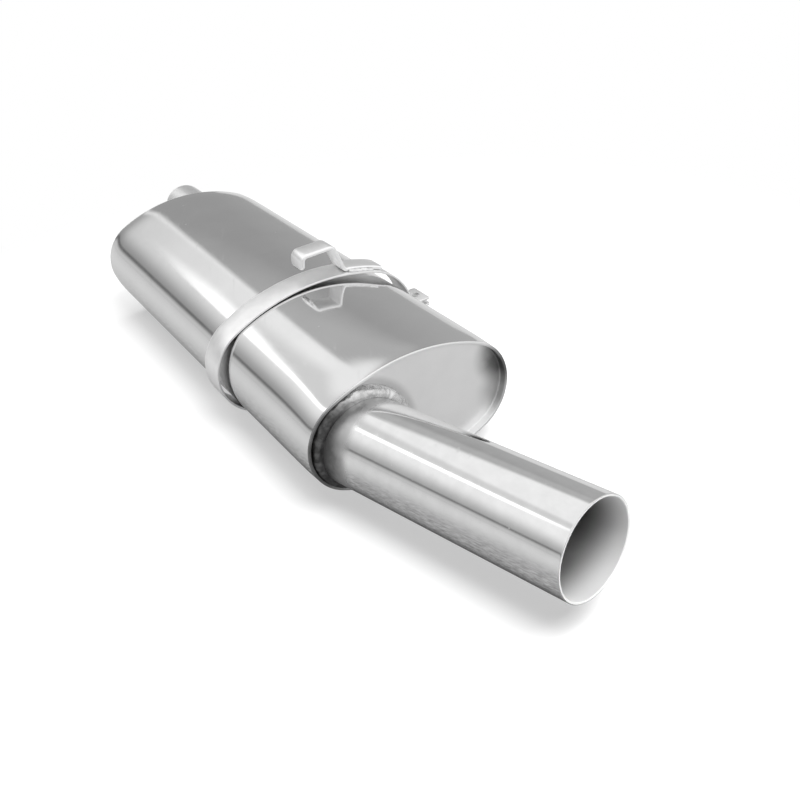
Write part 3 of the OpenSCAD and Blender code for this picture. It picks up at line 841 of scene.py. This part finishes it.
def makeFootWeld(name, node, side):
    look = weldLook
    leg = look["footLeg"] - look["footUnder"]
    sweep = hangerLook["footLong"] / bigR
    across = Vector((side, 0.0, 0.0))
    middle = Vector((strapX + side * (hangerLook["wide"] / 2 + sheetGap),
                     strapLook["shift"] - oval["inletOffset"], bigZ))
    rows = []
    for share in spread(0.0, 1.0, look["footRows"]):
        turn = math.radians(rightJoin) + sweep * share
        out = Vector((0.0, math.cos(turn), math.sin(turn)))
        start = middle + out * (bigR + sheetGap)
        taper = math.sqrt(max(1 - (2 * share - 1) ** look["footBlunt"], look["footEnd"]))
        row = [tuple(start)]
        for a in spread(0.0, math.pi / 2, look["footAcross"]):
            ray = across * math.cos(a) + out * math.sin(a)
            point = start + ray * leg * taper
            lift = beadLift(point, share * hangerLook["footLong"])
            lift *= math.sin(2 * a) * look["smallLift"]
            row.append(tuple(point + ray * lift))
        rows.append(row)
    bead = rowPiece(name, rows, capEnds=True)
    placePiece(bead, footWeldSteel, node, crisp=60.0)


makeStrap()
makeHanger()
makeFootWeld("hangerWeldFront", "hanger_weld_front", side=1)
makeFootWeld("hangerWeldRear", "hanger_weld_rear", side=-1)
print("strap and hanger made")

# the floor, the lamps and the camera are in metres
floorLook = {
    "size": 12.0, "under": 0.00005,
    "tone": 0.9, "fibre": 0.01, "fibreScale": 40.0, "rough": 0.9, "shine": 0.1,
    "seenWhite": 0.5, "centre": (0.43, -0.04, -0.06),      # whiter away from the part
    "whiteFrom": 0.45, "whiteTo": 0.66,
    # painted reflection: the steel sees the paper darker and mottled
    "toneInMetal": 0.21, "mottled": 0.1, "reflectionMottle": 150.0,  # the paper as the steel shows it
    # painted sheen: white light that the steel sees on the paper at flat angles
    "paintedSheen": 0.72, "sheenLeast": 0.08, "sheenFrom": 0.3, "sheenTo": 0.85}


def makeFloor():
    look = floorLook
    low = min(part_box(name)[0].z for name in nodes) - look["under"]
    half = look["size"] / 2
    mesh = bpy.data.meshes.new("floor")
    mesh.from_pydata([(-half, -half, low), (half, -half, low), (half, half, low),
                      (-half, half, low)], [], [(0, 1, 2, 3)])
    floor = bpy.data.objects.new("floor", mesh)
    bpy.context.scene.collection.objects.link(floor)
    material, tree, shader = newMaterial("floorPaper")
    rays = tree.nodes.new("ShaderNodeLightPath")
    inMetal = calc(tree, "MAXIMUM", rays.outputs["Is Glossy Ray"],
                   rays.outputs["Is Transmission Ray"])
    fibre = ranged(tree, speckle(tree, look["fibreScale"]), 0.0, 1.0, -look["fibre"],
                   look["fibre"])
    # painted reflection: a darker, mottled paper tone for glossy and transmission rays only
    reflectionMottle = ranged(tree, speckle(tree, look["reflectionMottle"], detail=5.0, rough=0.7),
                    *steelLook["span"], look["toneInMetal"] - look["mottled"],
                    look["toneInMetal"] + look["mottled"])
    paper = blend(tree, inMetal, (look["tone"],) * 3, reflectionMottle)
    paper = blend(tree, fibre, paper, (1.0, 1.0, 1.0))
    tree.links.new(paper, shader.inputs["Base Color"])
    shader.inputs["Roughness"].default_value = look["rough"]
    shader.inputs["Specular IOR Level"].default_value = look["shine"]
    near = nearPoint(tree, look["centre"], look["whiteFrom"], look["whiteTo"])
    share = calc(tree, "MULTIPLY", rays.outputs["Is Camera Ray"],
                 ranged(tree, near, 0.0, 1.0, 1.0, look["seenWhite"]))
    # painted sheen: white light added to the paper where the steel sees it flat along
    facing = tree.nodes.new("ShaderNodeLayerWeight")
    paintedSheen = ranged(tree, facing.outputs["Facing"], look["sheenFrom"], look["sheenTo"],
                   look["sheenLeast"], look["paintedSheen"], soft=True)
    share = calc(tree, "ADD", share, calc(tree, "MULTIPLY", inMetal, paintedSheen))
    white = tree.nodes.new("ShaderNodeEmission")
    mix = tree.nodes.new("ShaderNodeMixShader")
    tree.links.new(share, mix.inputs["Fac"])
    tree.links.new(shader.outputs["BSDF"], mix.inputs[1])
    tree.links.new(white.outputs["Emission"], mix.inputs[2])
    tree.links.new(mix.outputs["Shader"], tree.nodes["Material Output"].inputs["Surface"])
    mesh.materials.append(material)


makeFloor()

# bearings and heights are in degrees, seen from the part
roomLook = {
    "bright": 1.12,                                        # ceiling and the left wall
    "wallFrom": 100.0, "wallTo": 174.0, "wallTop": 42.0,   # the grey wall's edges
    "wallFade": 20.0, "wallSoft": 1.5, "topSoft": 3.0,
    "wall": 0.395, "wallUp": 0.56, "wallLowAt": 24.0, "wallUpAt": 33.0,
    "wallSide": 0.5, "wallSideFrom": 155.0, "wallSideTo": 135.0,
    "leftSoft": 3.0,                                       # where the left wall begins
    "lowSide": 0.36, "lowFrom": 36.0, "lowTo": 9.0,        # it dims downwards
    "lowFar": 0.5, "lowNearAt": 200.0, "lowFarAt": 240.0,  # less so further round
    "skirt": 0.5, "skirtAt": 8.5, "skirtWide": 2.8, "skirtCore": 0.4,   # dark skirting line
    "foot": 0.68, "footFrom": 7.0, "footTo": 3.0,          # pale foot under it
    "strip": 0.9, "stripFrom": (190.0, 30.0), "stripTo": (228.0, 44.0), "stripWide": 3.2,
    "stripEnd": 8.0, "besideStrip": 0.28,                  # darker beside the strip lamp
    "besideFrom": (0.6, 1.4), "besideTo": (3.0, 5.0)}      # these count in stripWide


def makeRoom():
    look = roomLook
    world = bpy.data.worlds.new("studioRoom")
    bpy.context.scene.world = world
    world.use_nodes = True
    tree = world.node_tree
    back = tree.nodes["Background"]
    back.inputs["Color"].default_value = (1.0, 1.0, 1.0, 1.0)
    coords = tree.nodes.new("ShaderNodeTexCoord")
    parts = tree.nodes.new("ShaderNodeSeparateXYZ")
    tree.links.new(coords.outputs["Generated"], parts.inputs["Vector"])
    degrees = 180 / math.pi
    height = calc(tree, "MULTIPLY", calc(tree, "ARCSINE", parts.outputs["Z"]), degrees)
    bearing = calc(tree, "MULTIPLY", calc(tree, "ARCTAN2", parts.outputs["Y"],
                                          parts.outputs["X"]), degrees)
    bearing = calc(tree, "MODULO", calc(tree, "ADD", bearing, 360.0), 360.0)

    def times(a, b):
        return calc(tree, "MULTIPLY", a, b)

    def rise(value, low, high):
        return ranged(tree, value, low, high, soft=True)

    def fall(value, low, high):
        return ranged(tree, value, low, high, 1.0, 0.0, soft=True)

    def mixTo(light, share, tone):
        return calc(tree, "ADD", light, times(share, calc(tree, "SUBTRACT", tone, light)))

    # left wall, from its bearing on
    onSide = rise(bearing, look["wallTo"], look["wallTo"] + look["leftSoft"])
    low = ranged(tree, bearing, look["lowNearAt"], look["lowFarAt"], look["lowSide"],
                 look["lowFar"])
    light = mixTo(look["bright"], times(onSide, fall(height, look["lowTo"], look["lowFrom"])),
                  low)
    light = mixTo(light, times(onSide, fall(height, look["footTo"], look["footFrom"])),
                  look["foot"])
    line = calc(tree, "ABSOLUTE", calc(tree, "SUBTRACT", height, look["skirtAt"]))
    line = times(onSide, fall(line, look["skirtCore"], look["skirtWide"]))
    light = times(light, ranged(tree, line, 0.0, 1.0, 1.0, look["skirt"]))
    # strip lamp between two places on that wall
    ax, ay = look["stripFrom"]
    bx, by = look["stripTo"]
    long = math.hypot(bx - ax, by - ay)
    ux, uy = (bx - ax) / long, (by - ay) / long
    dx = calc(tree, "SUBTRACT", bearing, ax)
    dy = calc(tree, "SUBTRACT", height, ay)
    along = calc(tree, "ADD", times(dx, ux), times(dy, uy))
    across = calc(tree, "DIVIDE", calc(tree, "ADD", times(dx, -uy), times(dy, ux)),
                  look["stripWide"])
    ends = times(rise(along, -look["stripEnd"], 0.0), fall(along, long, long + look["stripEnd"]))
    band = calc(tree, "SUBTRACT", 1.0, times(across, across), clamp=True)
    light = calc(tree, "ADD", light, times(times(band, ends), look["strip"]))
    beside = times(rise(across, *look["besideFrom"]), fall(across, *look["besideTo"]))
    light = calc(tree, "SUBTRACT", light, times(times(beside, ends), look["besideStrip"]))
    # grey wall behind the part, between two bearings and under its top
    wall = times(rise(bearing, look["wallFrom"] - look["wallFade"], look["wallFrom"]),
                 fall(bearing, look["wallTo"] - look["wallSoft"],
                      look["wallTo"] + look["wallSoft"]))
    wall = times(wall, fall(height, look["wallTop"] - look["topSoft"],
                            look["wallTop"] + look["topSoft"]))
    tone = calc(tree, "MAXIMUM",
                ranged(tree, height, look["wallLowAt"], look["wallUpAt"], look["wall"],
                       look["wallUp"]),
                ranged(tree, bearing, look["wallSideTo"], look["wallSideFrom"],
                       look["wallSide"], look["wall"]))
    light = mixTo(light, wall, tone)
    # the camera sees plain white
    rays = tree.nodes.new("ShaderNodeLightPath")
    light = mixTo(light, rays.outputs["Is Camera Ray"], 1.0)
    tree.links.new(light, back.inputs["Strength"])
    world.cycles_visibility.diffuse = False    # only the lamps light what is dull


makeRoom()

lampLook = {
    "overhead": {"power": 42.0, "size": 2.0, "place": (0.45, 0.15, 1.6),
                 "aim": (0.45, -0.05, 0.0)},
    "front": {"power": 40.0, "size": 0.9, "place": (1.5, 0.05, 1.5),
              "aim": (0.8, -0.04, 0.0)}}


def makeLamp(name, look):
    data = bpy.data.lights.new(name, "AREA")
    data.energy = look["power"]
    data.size = look["size"]
    lamp = bpy.data.objects.new(name, data)
    lamp.location = look["place"]
    aim = Vector(look["aim"]) - Vector(look["place"])
    lamp.rotation_euler = aim.to_track_quat("-Z", "Y").to_euler()
    lamp.visible_glossy = False    # the steel shows the room instead
    bpy.context.scene.collection.objects.link(lamp)


for lampName in lampLook:
    makeLamp(lampName, lampLook[lampName])

cameraLook = {"place": (1.16743, -0.35714, 0.42840), "right": (0.5308, 0.8404, -0.1097),
              "up": (-0.40736, 0.36648, 0.83651), "lens": 43.94, "sensor": 36.0}


def makeCamera():
    data = bpy.data.cameras.new("camera")
    data.lens = cameraLook["lens"]
    data.sensor_width = cameraLook["sensor"]
    camera = bpy.data.objects.new("camera", data)
    right = Vector(cameraLook["right"]).normalized()
    up = Vector(cameraLook["up"])
    up = (up - right * up.dot(right)).normalized()
    turn = Matrix((right, up, right.cross(up))).transposed().to_4x4()
    camera.matrix_world = Matrix.Translation(Vector(cameraLook["place"])) @ turn
    bpy.context.scene.collection.objects.link(camera)
    bpy.context.scene.camera = camera


makeCamera()
bpy.context.scene.view_settings.view_transform = "Standard"
print("room, light and camera set")

print("done")
